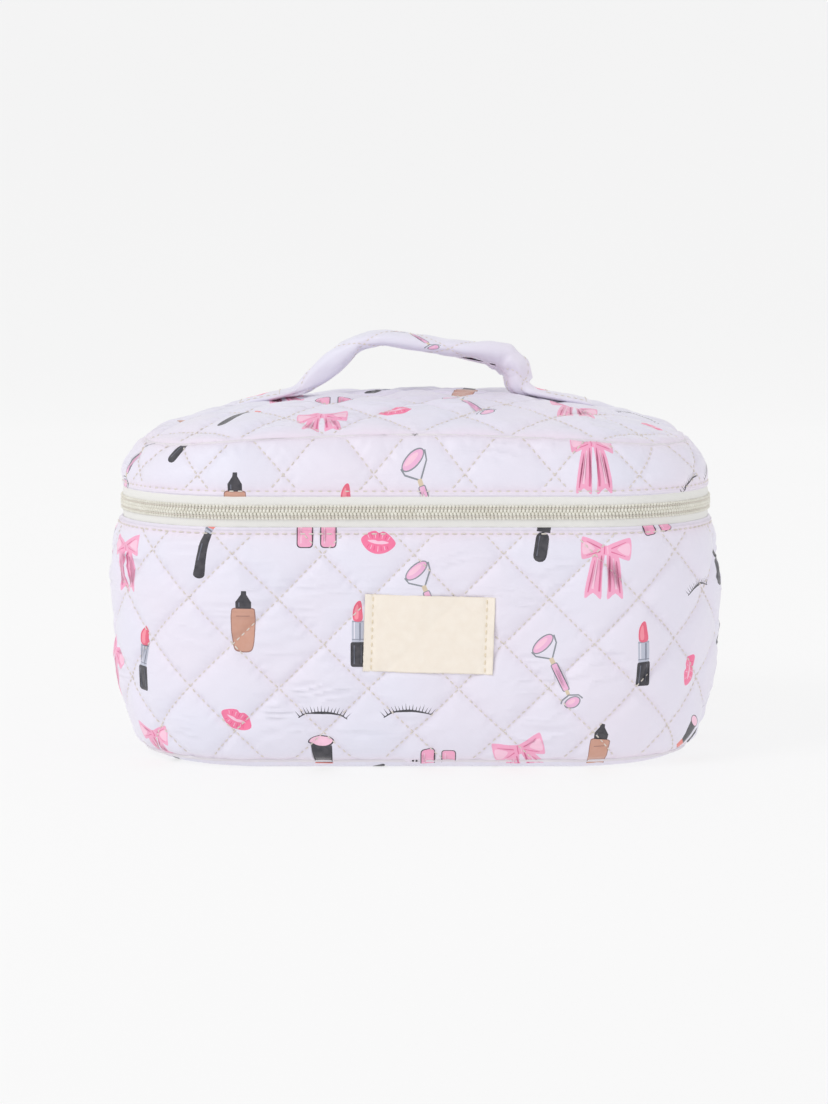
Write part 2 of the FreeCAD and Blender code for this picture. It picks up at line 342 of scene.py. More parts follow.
def block(x0, y0, x1, y1, r=0.6):
    c = [(x1 - r, y0 + r, -90), (x1 - r, y1 - r, 0), (x0 + r, y1 - r, 90), (x0 + r, y0 + r, 180)]
    return np.array([(cx + r * math.cos(math.radians(a + t)), cy + r * math.sin(math.radians(a + t)))
                     for cx, cy, a in c for t in (0, 30, 60, 90)])


def bow(tails=1.0):
    m = []
    for s in (-1, 1):
        m.append((smooth_loop([(0.5 * s, -0.6), (1.0 * s, -8 * tails), (1.1 * s, -14 * tails),
                               (1.3 * s, -19 * tails), (4.3 * s, -16.6 * tails), (7.4 * s, -18.6 * tails),
                               (6.4 * s, -9 * tails), (4.2 * s, -1)], 3), "rose"))
        m.append((bar(1.5 * s, -2, 2.0 * s, -16 * tails, 0.35, 0.8), "rose_deep"))
        m.append((bar(2.9 * s, -3, 4.6 * s, -15 * tails, 0.5, 0.9), "rose_pale"))
        m.append((bar(4.1 * s, -4, 6.2 * s, -16.5 * tails, 0.25, 0.45), "rose_deep"))
        m.append((smooth_loop([(0, 1.3), (3.2 * s, 3.2), (8.2 * s, 5.0), (9.6 * s, 4.2), (9.4 * s, -2.6),
                               (8.0 * s, -3.6), (3.2 * s, -1.9), (0, -1.2)], 3), "rose"))
        m.append((smooth_loop([(4.2 * s, 0.6), (8.7 * s, 3.0), (8.6 * s, -1.8)], 4), "rose_pale"))
        m.append((bar(1.6 * s, 0.6, 7.6 * s, 3.4, 0.5, 0.2), "rose_deep"))
        m.append((bar(1.6 * s, -0.4, 7.4 * s, -2.2, 0.5, 0.2), "rose_deep"))
    m.append((block(-1.9, -1.9, 1.9, 1.9, 0.8), "rose"))
    m.append((bar(-0.6, -1.5, -0.4, 1.5, 0.4), "rose_deep"))
    m.append((bar(0.8, -1.4, 0.6, 1.4, 0.3), "rose_pale"))
    return m


def kiss():
    m = [(smooth_loop([(-6.8, 0.2), (-4.6, 2.9), (-1.7, 4.2), (0, 3.5), (1.8, 4.2), (4.6, 2.7), (6.9, -0.1),
                       (4.2, -3.3), (0, -4.6), (-4.0, -3.4)], 4), "kiss"),
         (smooth_loop([(-4.2, 0.2), (-1.6, 0.65), (0, 0.3), (1.7, 0.65), (4.2, 0.1), (1.6, -0.75),
                       (-1.7, -0.7)], 4), "rose_pale")]
    for i, x in enumerate((-4.3, -2.9, -1.4, 0.2, 1.6, 3.1, 4.4)):
        up = 3.6 - abs(x) * 0.28
        inks = ("kiss_deep", "rose_pale") if i % 2 else ("rose_pale", "kiss_deep")
        m.append((bar(x * 0.82, 1.5 - abs(x) * 0.12, x, up, 0.18, 0.3), inks[0]))
        m.append((bar(x * 0.80, -1.6 + abs(x) * 0.1, x * 0.96, -up - 0.1, 0.2, 0.32), inks[1]))
    return m


def bottle():
    return [(smooth_loop([(-4.5, 3.4), (-3.4, 5.4), (3.4, 5.4), (4.5, 3.4), (4.6, -2), (4.1, -9.4),
                          (2.4, -12.1), (-2.2, -12.1), (-4.0, -9.6), (-4.6, -2)], 4), "tan_deep"),
            (smooth_loop([(-4.15, 3.3), (-3.2, 5.0), (3.2, 5.0), (4.15, 3.3), (4.25, -2), (3.8, -9.2),
                          (2.2, -11.7), (-2.0, -11.7), (-3.7, -9.4), (-4.25, -2)], 4), "tan"),
            (block(-2.9, 5.1, 2.9, 8.2, 0.5), "black"),
            (np.array([(-2.8, 7.9), (2.8, 7.9), (1.0, 10.6), (0.9, 12.0), (-0.9, 12.0), (-1.0, 10.6)]),
             "black"),
            (bar(-1.6, 5.9, -1.6, 7.6, 0.4), "shine"), (bar(-2.6, 2.2, 2.4, 2.2, 0.25), "tan_deep")]


def lipstick():
    return [(block(-2.8, -13.2, 2.8, -3.2, 0.9), "black"), (bar(-1.4, -12.0, -1.4, -4.6, 0.5), "shine"),
            (bar(1.3, -11.6, 1.3, -4.4, 0.25), "shine"),
            (block(-2.3, -3.3, 2.3, 5.2, 0.4), "silver"), (bar(0.9, -2.6, 0.9, 4.2, 0.7), "steel"),
            (bar(-1.3, -2.4, -1.3, 4.4, 0.4), "paper"), (bar(-2.3, -2.2, 2.3, -2.2, 0.35), "steel"),
            (bar(-2.2, 4.6, 2.2, 4.6, 0.3), "steel"),
            (smooth_loop([(-1.7, 5.1), (-1.8, 9.4), (-0.4, 12.2), (1.2, 12.6), (1.8, 9.0), (1.7, 5.1)], 4),
             "tip"),
            (smooth_loop([(-1.2, 5.8), (-1.2, 9.2), (0.0, 11.4), (0.3, 8.4), (0.1, 5.8)], 3), "tip_pale")]


def roller():
    m = [(stroke([(-5.7, 14.4), (-5.0, 12.0), (0.3, 8.4), (4.6, 13.6), (5.0, 16.8)],
                 [0.7, 0.6, 0.8, 0.6, 0.7]), "grey"),
         (oval(-0.4, 15.4, 5.3, 2.5, 17), "grey"), (oval(-0.4, 15.4, 4.8, 2.0, 17), "stone"),
         (oval(-0.9, 15.8, 3.3, 0.95, 17, 14), "rose_pale"),
         (block(-0.9, 6.2, 0.9, 9.0, 0.4), "gold"),
         (block(-1.5, -5.4, 1.5, 6.6, 0.6), "grey"), (block(-1.1, -5.1, 1.1, 6.3, 0.5), "stone"),
         (bar(-0.4, -4.4, -0.4, 5.4, 0.35), "rose_pale"),
         (block(-0.7, -7.6, 0.7, -5.0, 0.4), "gold"),
         (stroke([(-4.4, -9.6), (-3.6, -8.6), (0.0, -7.2), (3.6, -8.6), (4.4, -10.4)], [0.6] * 5), "grey"),
         (oval(0.0, -10.6, 3.6, 2.3, 12), "grey"), (oval(0.0, -10.6, 3.1, 1.85, 12), "stone"),
         (oval(-0.3, -10.2, 1.9, 0.8, 12, 12), "rose_pale")]
    return m


def brush():
    t = np.linspace(0, 1, 9)
    path = np.stack([2.6 - 5.2 * t + 1.9 * np.sin(np.pi * t * 0.6) * t, 7 - 17 * t], -1)
    return [(stroke(path, 2.9 + 1.3 * t), "black"), (oval(path[-1, 0], path[-1, 1], 2.1, 1.6), "black"),
            (bar(2.1, 6.4, 3.0, 8.6, 3.0, 3.5), "silver"), (bar(2.9, 8.2, 3.6, 10.2, 3.2, 3.8), "coral"),
            (bar(2.3, 7.4, 2.6, 7.9, 3.2), "steel"), (bar(0.7, 2.2, -0.7, -4.4, 0.4, 0.3), "shine")]


def pair():
    m = []
    for s in (-1, 1):
        m += [(block(4.6 * s - 3.2, -3.4, 4.6 * s + 3.2, 6.4, 1.5), "black"),
              (block(4.6 * s - 2.8, -3.0, 4.6 * s + 2.8, 6.0, 1.3), "rose"),
              (bar(4.6 * s - 1.5, -1.6, 4.6 * s - 1.5, 4.6, 0.5), "rose_pale")]
    return m


def stub():
    return [(block(-2.6, -6.4, 2.6, 5.2, 2.3), "black"), (bar(-2.7, 5.6, 2.7, 5.6, 0.8), "black"),
            (block(-2.7, 6.0, 2.7, 10.4, 0.4), "black"), (bar(-1.2, -4.2, -1.2, 3.6, 0.45), "shine")]


def lashes():
    t = np.linspace(-1, 1, 13)
    arc = np.stack([9.6 * t, 2.6 * (1 - t * t) - 2.4], -1)
    m = [(stroke(arc, 0.35 + 0.75 * (1 - np.abs(t))), "black")]
    for i in range(16):
        s = -0.94 + 1.88 * i / 15
        x, y = 9.6 * s, 2.6 * (1 - s * s) - 2.4
        size = 2.3 + 1.1 * ((i * 7) % 5) / 5
        m.append((np.array([(x - 0.26, y - 0.1), (x + 0.26, y - 0.1), (x + s * 2.3, y + size)]), "black"))
    return m


def compact_brush():
    return [(np.array([(-3.6, -5.8), (3.0, -6.4), (3.6, 3.0), (-4.8, 4.2)]), "black"),
            (bar(-3.9, -6.6, 3.2, -7.2, 3.4), "coral"), (oval(-0.6, 5.0, 5.2, 2.3, -6), "black"),
            (oval(-0.6, 5.1, 4.6, 1.8, -6), "rose_pale")]


MOTIFS = {"bow": bow(), "bow_short": bow(0.55), "kiss": kiss(), "bottle": bottle(), "lipstick": lipstick(),
          "roller": roller(), "brush": brush(), "pair": pair(), "stub": stub(), "lashes": lashes(),
          "compact": compact_brush()}


def place(kind, a, b, turn=0.0, size=1.0):
    """A motif's outlines set down at (a, b) on the cloth."""
    t = math.radians(turn)
    c, s = math.cos(t), math.sin(t)
    out = []
    for shape, ink in MOTIFS[kind]:
        x, y = shape[:, 0] * size, shape[:, 1] * size
        out.append((np.stack([a + x * c - y * s, b + x * s + y * c], -1), ink))
    return out


def printed(*rows):
    """Several motifs, each given as (kind, a, b, turn, size)."""
    return [part for row in rows for part in place(*row)]


def scatter(box, pitch, seed, keep_clear=()):
    """Motifs in loose rows over a part of the cloth that the view from the front doesn't show."""
    kinds = ["kiss", "bottle", "bow", "lashes", "roller", "lipstick", "brush", "pair", "stub"]
    rng = np.random.default_rng(seed)
    out, row = [], 0
    b = box[1] + pitch * 0.3
    while b < box[3]:
        a = box[0] + pitch * (0.25 + 0.5 * (row % 2))
        while a < box[2]:
            kind = kinds[int(rng.integers(len(kinds)))]
            ja, jb, turn = rng.uniform(-5, 5), rng.uniform(-4, 4), rng.uniform(-30, 30)
            if all(abs(a - ka) > 20 or abs(b - kb) > 20 for ka, kb in keep_clear):
                out += place(kind, a + ja, b + jb, turn, 0.95)
            a += pitch
        b += pitch * 0.82
        row += 1
    return out


# ---- meshes
def new_object(name, verts, faces):
    mesh = bpy.data.meshes.new(name)
    mesh.from_pydata([tuple(v) for v in np.asarray(verts, float) * MM], [], [tuple(f) for f in faces])
    mesh.polygons.foreach_set("use_smooth", [True] * len(mesh.polygons))
    mesh.update()
    obj = bpy.data.objects.new(name, mesh)
    bpy.context.scene.collection.objects.link(obj)
    return obj


def grid_faces(rows, cols, close=False):
    out = []
    for i in range(rows - 1):
        for j in range(cols if close else cols - 1):
            k = (j + 1) % cols
            out.append((i * cols + j, i * cols + k, (i + 1) * cols + k, (i + 1) * cols + j))
    return out


def tube_faces(rows, sides):
    """Faces of a row of rings, with a cap at each end."""
    return grid_faces(rows, sides, True) + [tuple(range(sides))[::-1],
                                            tuple(range((rows - 1) * sides, rows * sides))]


def slab(name, outer, inner, rows, cols):
    """Thin sheet between two grids of points, closed along its edges."""
    n = rows * cols
    faces = grid_faces(rows, cols)
    edge = [*range(cols), *(r * cols + cols - 1 for r in range(1, rows)),
            *((rows - 1) * cols + c for c in range(cols - 2, -1, -1)),
            *(r * cols for r in range(rows - 2, 0, -1))]
    sides = [(b, a, a + n, b + n) for a, b in zip(edge, edge[1:] + edge[:1])]
    back = [tuple(q + n for q in f[::-1]) for f in faces]
    verts = np.concatenate([outer.reshape(-1, 3), inner.reshape(-1, 3)])
    return new_object(name, verts, faces + back + sides)


def cut_cloth(name, border, step, prints, surface, relief, fold_shade, flip=False):
    """Cloth panel inside a border, cut along the edges of its print, so that each colour is sharp."""
    border = np.array(border, float)
    lo, hi = border.min(0), border.max(0)
    ga, gb = np.meshgrid(np.arange(lo[0] + step / 2, hi[0], step), np.arange(lo[1] + step / 2, hi[1], step))
    ga[::2] += step * 0.25
    ga[1::2] -= step * 0.25
    dots = np.stack([ga.ravel(), gb.ravel()], -1)
    dots = dots[inside_border(dots, border, step * 0.45)]
    faces, pts, inks = [list(range(len(border)))], [border], [None]
    count = len(border)
    for shape, ink in prints:
        if shape[:, 0].max() < lo[0] or shape[:, 0].min() > hi[0] or shape[:, 1].max() < lo[1] \
                or shape[:, 1].min() > hi[1]:
            continue
        area = np.sum(shape[:, 0] * np.roll(shape[:, 1], -1) - np.roll(shape[:, 0], -1) * shape[:, 1])
        shape = shape if area > 0 else shape[::-1]
        pts.append(shape)
        faces.append(list(range(count, count + len(shape))))
        inks.append(ink)
        count += len(shape)
    pts.append(dots)
    flat = np.concatenate(pts)
    co, _, tris, _, _, owners = delaunay_2d_cdt([Vector(p) for p in flat], [], faces, 1, 1e-4, True)
    keep = [i for i, o in enumerate(owners) if 0 in o]
    co = np.array([(v.x, v.y) for v in co])
    a, b = co[:, 0], co[:, 1]
    verts = surface(a, b, relief(a, b))
    tri = [tris[i][::-1] if flip else tris[i] for i in keep]
    used = np.unique(np.concatenate([np.array(t) for t in tri]))
    place_of = np.zeros(len(co), int)
    place_of[used] = np.arange(len(used))
    tri = [[int(place_of[q]) for q in t] for t in tri]
    a, b, verts = a[used], b[used], verts[used]
    obj = new_object(name, verts, tri)
    mesh = obj.data
    layer = mesh.color_attributes.new("ink", "FLOAT_COLOR", "CORNER")
    rows = []
    for i in keep:
        top = max(owners[i])
        rgba = (1.0, 1.0, 1.0, 0.0) if top == 0 else (*linear(INK[inks[top]]), 1.0)
        rows += [rgba] * len(tris[i])
    layer.data.foreach_set("color", np.array(rows, np.float32).ravel())
    # painted shade: closeness to the stitched lines, which the satin turns into a pink tint standing in for
    # shade and reflected light in the folds
    shade_layer = mesh.attributes.new("fold_shade", "FLOAT", "POINT")
    shade_layer.data.foreach_set("value", fold_shade(a, b).astype(np.float32))
    e = 0.35
    da = surface(a + e, b, relief(a + e, b)) - surface(a - e, b, relief(a - e, b))
    db = surface(a, b + e, relief(a, b + e)) - surface(a, b - e, relief(a, b - e))
    n = np.cross(da, db)
    n *= (-1 if flip else 1) / (np.linalg.norm(n, axis=1)[:, None] + 1e-12)
    mesh.normals_split_custom_set_from_vertices([tuple(v) for v in n])
    return obj


def inside_border(p, border, gap):
    """Which points are inside a closed border and at least a gap away from it."""
    x, y = p[:, 0], p[:, 1]
    inside = np.zeros(len(p), bool)
    near = np.full(len(p), 1e9)
    q = np.roll(border, -1, axis=0)
    for (x0, y0), (x1, y1) in zip(border, q):
        if (y0 > y1) != (y1 > y0) or y0 != y1:
            cross = ((y0 > y) != (y1 > y)) & (x < (x1 - x0) * (y - y0) / (y1 - y0 + 1e-12) + x0)
            inside ^= cross
        near = np.minimum(near, np.hypot(x - x0, y - y0))
        near = np.minimum(near, np.hypot(x - (x0 + x1) / 2, y - (y0 + y1) / 2))
    return inside & (near > gap)


def frame_border(a0, b0, a1, b1, step):
    """Points round a rectangle, spaced alike on every panel so that neighbours meet."""
    na, nb = max(2, int(round((a1 - a0) / step))), max(2, int(round((b1 - b0) / step)))
    a, b = np.linspace(a0, a1, na + 1), np.linspace(b0, b1, nb + 1)
    return ([(x, b0) for x in a[:-1]] + [(a1, y) for y in b[:-1]] + [(x, b1) for x in a[:0:-1]]
            + [(a0, y) for y in b[:0:-1]])


def threads(name, dashes, surface, relief, length, width, lift):
    """Stitches: one short rounded thread for each (a, b, direction in degrees)."""
    rings, sides = np.array([-0.5, -0.36, 0.0, 0.36, 0.5]), 5
    girth = np.array([0.35, 0.9, 1.0, 0.9, 0.35])
    d = np.array(dashes, float)
    t = np.radians(d[:, 2])
    spine, up = [], []
    for r in rings:
        a, b = d[:, 0] + np.cos(t) * r * length, d[:, 1] + np.sin(t) * r * length
        sink = lift - 0.9 * width * (abs(r) * 2) ** 3
        spine.append(surface(a, b, relief(a, b) + sink))
        up.append(surface(a, b, relief(a, b) + sink + 0.5) - spine[-1])
    spine, up = np.array(spine), np.array(up)
    up /= np.linalg.norm(up, axis=2)[..., None]
    run = spine[-1] - spine[0]
    run /= np.linalg.norm(run, axis=1)[:, None]
    wide = np.cross(run[None], up)
    out = []
    for i in range(len(rings)):
        for p in np.arange(sides) * 2 * np.pi / sides:
            out.append(spine[i] + width * 0.5 * girth[i] * (np.cos(p) * wide[i] * 1.15 + np.sin(p) * up[i]))
    out = np.array(out).transpose(1, 0, 2)               # dash, ring * side, 3
    one = tube_faces(len(rings), sides)
    faces = [tuple(n * len(rings) * sides + q for q in f) for n in range(len(d)) for f in one]
    return new_object(name, out.reshape(-1, 3), faces)


def quilt_dashes(box, phase, allowed=lambda a, b: True, pitch=2.7):
    """Places of the stitches along both sets of quilting lines inside a box."""
    a0, b0, a1, b1 = box
    out = []
    for sign, ph in ((1, phase[0]), (-1, phase[1])):
        k0 = math.floor((min(a0 + sign * b0, a0 + sign * b1) - ph) / QUILT) - 1
        k1 = math.ceil((max(a1 + sign * b0, a1 + sign * b1) - ph) / QUILT) + 1
        for k in range(k0, k1 + 1):
            c = ph + k * QUILT
            b = np.arange(b0, b1, pitch / ROOT2) + (k * 7 % 5) * 0.31
            a = c - sign * b
            wobble = 0.35 * noise(b / 14, k * 3.3, 77)
            ok = (a >= a0) & (a < a1) & allowed(a, b)
            turn = 135.0 if sign == 1 else 45.0
            out += [(x + w, y, turn) for x, y, w in zip(a[ok], b[ok], wobble[ok])]
    return out


# ---- materials
class Nodes:
    """Short way to write a node material."""

    def __init__(self, name):
        self.mat = bpy.data.materials.new(name)
        self.mat.use_nodes = True
        self.tree = self.mat.node_tree
        self.tree.nodes.clear()
        self.out = self.tree.nodes.new("ShaderNodeOutputMaterial")
        self.shader = self.tree.nodes.new("ShaderNodeBsdfPrincipled")
        self.tree.links.new(self.shader.outputs[0], self.out.inputs[0])
        self.coord = self.tree.nodes.new("ShaderNodeTexCoord").outputs["Object"]

    def add(self, kind, props=None, **inputs):
        node = self.tree.nodes.new(kind)
        for k, v in (props or {}).items():
            setattr(node, k, v)
        for k, v in inputs.items():
            self.put(node.inputs[k.replace("_", " ")], v)
        return node

    def put(self, socket, value):
        if isinstance(value, bpy.types.NodeSocket):
            self.tree.links.new(value, socket)
        else:
            socket.default_value = (*value, 1.0) if socket.type == "RGBA" else value

    def mapped(self, scale, turn=(0, 0, 0)):
        return self.add("ShaderNodeMapping", Vector=self.coord, Scale=scale, Rotation=turn).outputs[0]

    def noise(self, scale, detail=2.0, vector=None):
        return self.add("ShaderNodeTexNoise", Vector=vector or self.coord, Scale=scale,
                        Detail=detail).outputs["Fac"]

    def wave(self, scale, turn, distortion, axis="X"):
        return self.add("ShaderNodeTexWave", {"bands_direction": axis}, Vector=self.mapped((1, 1, 1), turn),
                        Scale=scale, Distortion=distortion).outputs["Fac"]

    def math(self, op, a, b=0.0):
        node = self.add("ShaderNodeMath", {"operation": op})
        self.put(node.inputs[0], a)
        self.put(node.inputs[1], b)
        return node.outputs[0]

    def span(self, value, a, b, c, d):
        node = self.add("ShaderNodeMapRange", Value=value)
        for i, v in enumerate((a, b, c, d)):
            node.inputs[i + 1].default_value = v
        return node.outputs[0]

    def mix(self, fac, a, b):
        node = self.add("ShaderNodeMix", {"data_type": "RGBA"})
        for k, v in ((0, fac), (6, a), (7, b)):
            self.put(node.inputs[k], v)
        return node.outputs[2]

    def attribute(self, name):
        return self.add("ShaderNodeAttribute", {"attribute_name": name})

    def bump(self, height, strength, distance):
        return self.add("ShaderNodeBump", Height=height, Strength=strength, Distance=distance).outputs[0]

    def patches(self, scale, detail, most=1.0):
        """Soft cloudy patches, from 0 up to most."""
        return self.span(self.noise(scale, detail), 0.3, 0.7, 0.0, most)

    def finish(self, color, rough, normal, **plain):
        settings = {"Base Color": color, "Roughness": rough, "Normal": normal, **plain}
        for k, v in settings.items():
            self.put(self.shader.inputs[k.replace("_", " ")], v)
        return self.mat


def rgb(r, g, b):
    return tuple(float(v) for v in linear((r, g, b)))


def weave(n, fine, strength, distance):
    """Crossing threads plus a little slub."""
    u, v = (n.wave(fine, (0, 0, 0.6), 0.6, axis) for axis in "XZ")
    cross = n.math("MULTIPLY", u, v)
    slub = n.noise(900.0, 3.0, n.mapped((1, 1, 5)))
    return n.bump(n.math("ADD", cross, n.math("MULTIPLY", slub, 0.6)), strength, distance)


def printed_satin():
    n = Nodes("printed_satin")
    ink, fold_shade = n.attribute("ink"), n.attribute("fold_shade")
    cloud = n.noise(16.0, 3.0)
    cloth = n.mix(n.span(cloud, 0.35, 0.7, 0.0, 1.0), rgb(230, 229, 243), rgb(234, 228, 241))
    threadwork = n.wave(2600.0, (0, 0, 0.5), 1.5)
    cloth = n.mix(n.math("MULTIPLY", threadwork, 0.05), cloth, rgb(209, 204, 221))
    # painted shade: pink tint near the stitched lines and seams, standing in for shade and pink light
    # reflected in the folds
    cloth = n.mix(n.math("MULTIPLY", fold_shade.outputs["Fac"], 0.42), cloth, rgb(238, 214, 228))
    dye = n.mix(n.span(n.noise(420.0, 3.0), 0.35, 0.8, 0.0, 0.05), ink.outputs["Color"], rgb(250, 240, 246))
    color = n.mix(n.math("MULTIPLY", ink.outputs["Alpha"], 0.96), cloth, dye)
    rough = n.span(n.noise(60.0, 2.0), 0.3, 0.7, 0.34, 0.46)
    return n.finish(color, rough, weave(n, 1900.0, 0.14, 0.0003), Sheen_Weight=0.25, Sheen_Roughness=0.4,
                    Specular_IOR_Level=0.42)


def plain_cloth(name, base, other, rough=0.8, fine=1500.0, strength=0.2, sheen=0.2):
    n = Nodes(name)
    color = n.mix(n.patches(70.0, 3.0), base, other)
    return n.finish(color, rough, weave(n, fine, strength, 0.0004), Sheen_Weight=sheen)


def thread_material(name, base):
    n = Nodes(name)
    twist = n.wave(2400.0, (0.4, 0.6, 0.8), 0.0, "DIAGONAL")
    color = n.mix(n.math("MULTIPLY", twist, 0.35), base, tuple(c * 0.78 for c in base))
    return n.finish(color, 0.5, n.bump(twist, 0.3, 0.0002), Sheen_Weight=0.1)


def canvas():
    n = Nodes("label_canvas")
    warp, weft = (n.wave(900.0, (0, 0.031, 0), 1.2, axis) for axis in "XZ")
    cross = n.math("MULTIPLY", warp, weft)
    color = n.mix(n.patches(240.0, 4.0, 0.5), rgb(250, 241, 229), rgb(243, 231, 216))
    color = n.mix(n.math("MULTIPLY", cross, 0.12), color, rgb(250, 244, 236))
    rise = n.math("ADD", cross, n.noise(700.0, 2.0))
    return n.finish(color, 0.85, n.bump(rise, 0.35, 0.0004), Sheen_Weight=0.15)


def tape_material():
    n = Nodes("zip_tape")
    u, v = (n.wave(520.0, (0.0, turn, 0.0), 0.4) for turn in (0.785, -0.785))
    rib = n.math("MAXIMUM", u, v)
    color = n.mix(n.math("MULTIPLY", rib, 0.22), rgb(236, 235, 232), rgb(216, 215, 211))
    return n.finish(color, 0.72, n.bump(rib, 0.35, 0.0003), Sheen_Weight=0.15)


def nylon():
    n = Nodes("coil_nylon")
    color = n.mix(n.patches(300.0, 2.0), rgb(234, 232, 222), rgb(222, 219, 207))
    return n.finish(color, 0.34, n.bump(n.noise(1500.0, 2.0), 0.08, 0.0002), Specular_IOR_Level=0.5)


def metal():
    n = Nodes("slider_metal")
    worn = n.span(n.noise(500.0, 4.0), 0.55, 0.75, 0.0, 0.5)
    color = n.mix(worn, rgb(226, 223, 214), rgb(196, 192, 182))
    return n.finish(color, n.span(n.noise(900.0, 2.0), 0.3, 0.7, 0.28, 0.42),
                    n.bump(n.noise(1200.0, 3.0), 0.06, 0.0002), Metallic=0.35)


SATIN = printed_satin()
LINING = plain_cloth("lining", rgb(238, 234, 241), rgb(231, 226, 236), 0.62, 1700.0, 0.15)
BINDING = plain_cloth("binding", rgb(236, 231, 236), rgb(226, 220, 228), 0.8, 1200.0, 0.3)
CANVAS, TAPE, NYLON, METAL = canvas(), tape_material(), nylon(), metal()
THREAD = thread_material("white_thread", rgb(230, 222, 213))
CREAM = thread_material("cream_thread", rgb(240, 226, 200))


def dress(obj, material, body, slot, *nodes):
    obj.data.materials.clear()
    obj.data.materials.append(material)
    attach(obj, body)
    if nodes:
        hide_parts(*nodes)
    return obj


# ---- body wall
FRONT = printed(
    ("bow", -123.5, 86.5, 4, 0.95), ("bow", 74.3, 88.1, -3), ("bow_short", -113.0, 12.0, -4, 0.88),
    ("bow_short", 41.0, 8.5, 16, 1.05), ("kiss", -14.6, 91.6, -6), ("kiss", -70.6, 21.4, -28, 0.96),
    ("kiss", 114.0, 38.0, 68, 0.94), ("brush", -83.6, 88.5, 0), ("compact", -36.4, 7.4, 4),
    ("compact", 123.0, 12.0, -24, 0.85), ("pair", -38.7, 92.6, 0), ("pair", 96.9, 96.8, 8, 0.85),
    ("stub", 49.2, 90.2, -9), ("roller", 6.5, 66.5, 22), ("roller", 57.0, 38.0, 26),
    ("bottle", -67.3, 60.5, -1), ("bottle", 73.2, 7.8, -4, 0.96), ("lipstick", -111.3, 43.5, -3),
    ("lipstick", -22.6, 56.0, 0), ("lipstick", 89.2, 47.0, 3), ("lashes", -36.4, 24.5, -2),
    ("lashes", -3.0, 25.2, 2), ("lashes", 118.0, 71.8, 8, 0.9), ("pair", 9.0, 3.4, 0, 0.9))
REST = scatter((128.0, 0.0, AROUND - 130.0, 100.0), 38.0, 4)


def wrapped(prints, a0, a1):
    """The same print seen one lap round, for panels whose u runs past the lap."""
    out = []
    for shape, ink in prints:
        for shift in (-AROUND, 0.0, AROUND):
            s = shape + np.array([shift, 0.0])
            if s[:, 0].max() > a0 and s[:, 0].min() < a1:
                out.append((s, ink))
    return out


SPANS = {"front": (-CORNER_U, CORNER_U), "right": (CORNER_U, AROUND / 2 - CORNER_U),
         "back": (AROUND / 2 - CORNER_U, AROUND / 2 + CORNER_U), "left": (CORNER_U - AROUND / 2, -CORNER_U)}


# painted shade in the folds of the wall and, below, of the lid strip: along the quilting, the stitched rows
# and the seams
def wall_fold_shade(u, z):
    return painted_fold_shade(u, z, WALL_PHASE, (z - TOP_ROW, z - 3.8, lap_gap(u)))


def strip_fold_shade(u, z):
    return painted_fold_shade(u, z, STRIP_PHASE, (z - STRIP_ROW, z - SEAM_Z, lap_gap(u)))


# no quilting stitches are shown under the label
LEFT, RIGHT = LABEL_X - LABEL_W / 2 - 0.8, LABEL_X + LABEL_W / 2 + 0.8
LOW, HIGH = LABEL_Z - LABEL_H / 2 - 0.05, LABEL_Z + LABEL_H / 2 + 0.25
EDGE_PITCH = 3.5                     # spacing of the stitches beside the zip
for side, (u0, u1) in SPANS.items():
    obj = cut_cloth("wall_" + side, frame_border(u0, BOTTOM, u1, TOP, STEP), STEP,
                    wrapped(FRONT + REST, u0, u1), wall_at, wall_relief, wall_fold_shade)
    dress(obj, SATIN, "body", "printed_satin")
    dashes = quilt_dashes((u0, 5.0, u1, TOP_ROW - 1.2), WALL_PHASE)
    if side == "front":
        dashes = [d for d in dashes if not (LEFT < d[0] < RIGHT and LOW < d[1] < HIGH)]
    row = [(u, TOP_ROW, 0.0) for u in np.arange(u0 + 1, u1, EDGE_PITCH)]
    dress(threads("wall_stitches_" + side, dashes, wall_at, wall_relief, *QUILT_STITCH), THREAD, "body",
          "white_thread")
    dress(threads("wall_edge_stitches_" + side, row, wall_at, wall_relief, 2.4, 0.6, 0.2), THREAD, "body",
          "white_thread")
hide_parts("body_wall", "body_wadding")

# ---- lid strip and crown
STRIP_PRINT = printed(
    ("stub", -100.2, 127.4, -20, 0.88), ("bottle", -70.8, 106.0, 0), ("lipstick", -27.3, 101.2, 0),
    ("roller", 4.6, 107.0, 20), ("bow", 70.1, 128.6, 0, 0.98), ("lashes", 118.6, 113.0, 24, 0.9)) \
    + scatter((135.0, 104.0, AROUND - 120.0, 134.0), 40.0, 9)
for side, (u0, u1) in SPANS.items():
    obj = cut_cloth("lid_strip_" + side, frame_border(u0, STRIP_FOOT, u1, SEAM_Z, STEP), STEP,
                    wrapped(STRIP_PRINT, u0, u1), strip_at, strip_relief, strip_fold_shade)
    dress(obj, SATIN, "lid", "printed_satin")
    dashes = quilt_dashes((u0, STRIP_ROW + 1.2, u1, SEAM_Z - 1.0), STRIP_PHASE)
    row = [(u, STRIP_ROW, 0.0) for u in np.arange(u0 + 1, u1, EDGE_PITCH)]
    dress(threads("strip_stitches_" + side, dashes + row, strip_at, strip_relief, *QUILT_STITCH), THREAD,
          "lid", "white_thread")
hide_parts("lid_strip", "lid_strip_wadding")


def lid_rim():
    """Points round the lid's top seam: fine arcs at the corners, STEP apart on the straight sides."""
    arcs = []
    for sx, sy, start in ((1, -1, -90), (1, 1, 0), (-1, 1, 90), (-1, -1, 180)):
        for t in (math.radians(start + k) for k in np.linspace(0, 90, 68)):
            arcs.append((sx * (LID_A - LID_R) + LID_R * math.cos(t),
                         sy * (LID_B - LID_R) + LID_R * math.sin(t)))
    rim = []
    for p, q in zip(arcs, arcs[1:] + arcs[:1]):
        n = max(1, int(math.dist(p, q) / STEP))
        rim += [(p[0] + (q[0] - p[0]) * k / n, p[1] + (q[1] - p[1]) * k / n) for k in range(n)]
    return rim


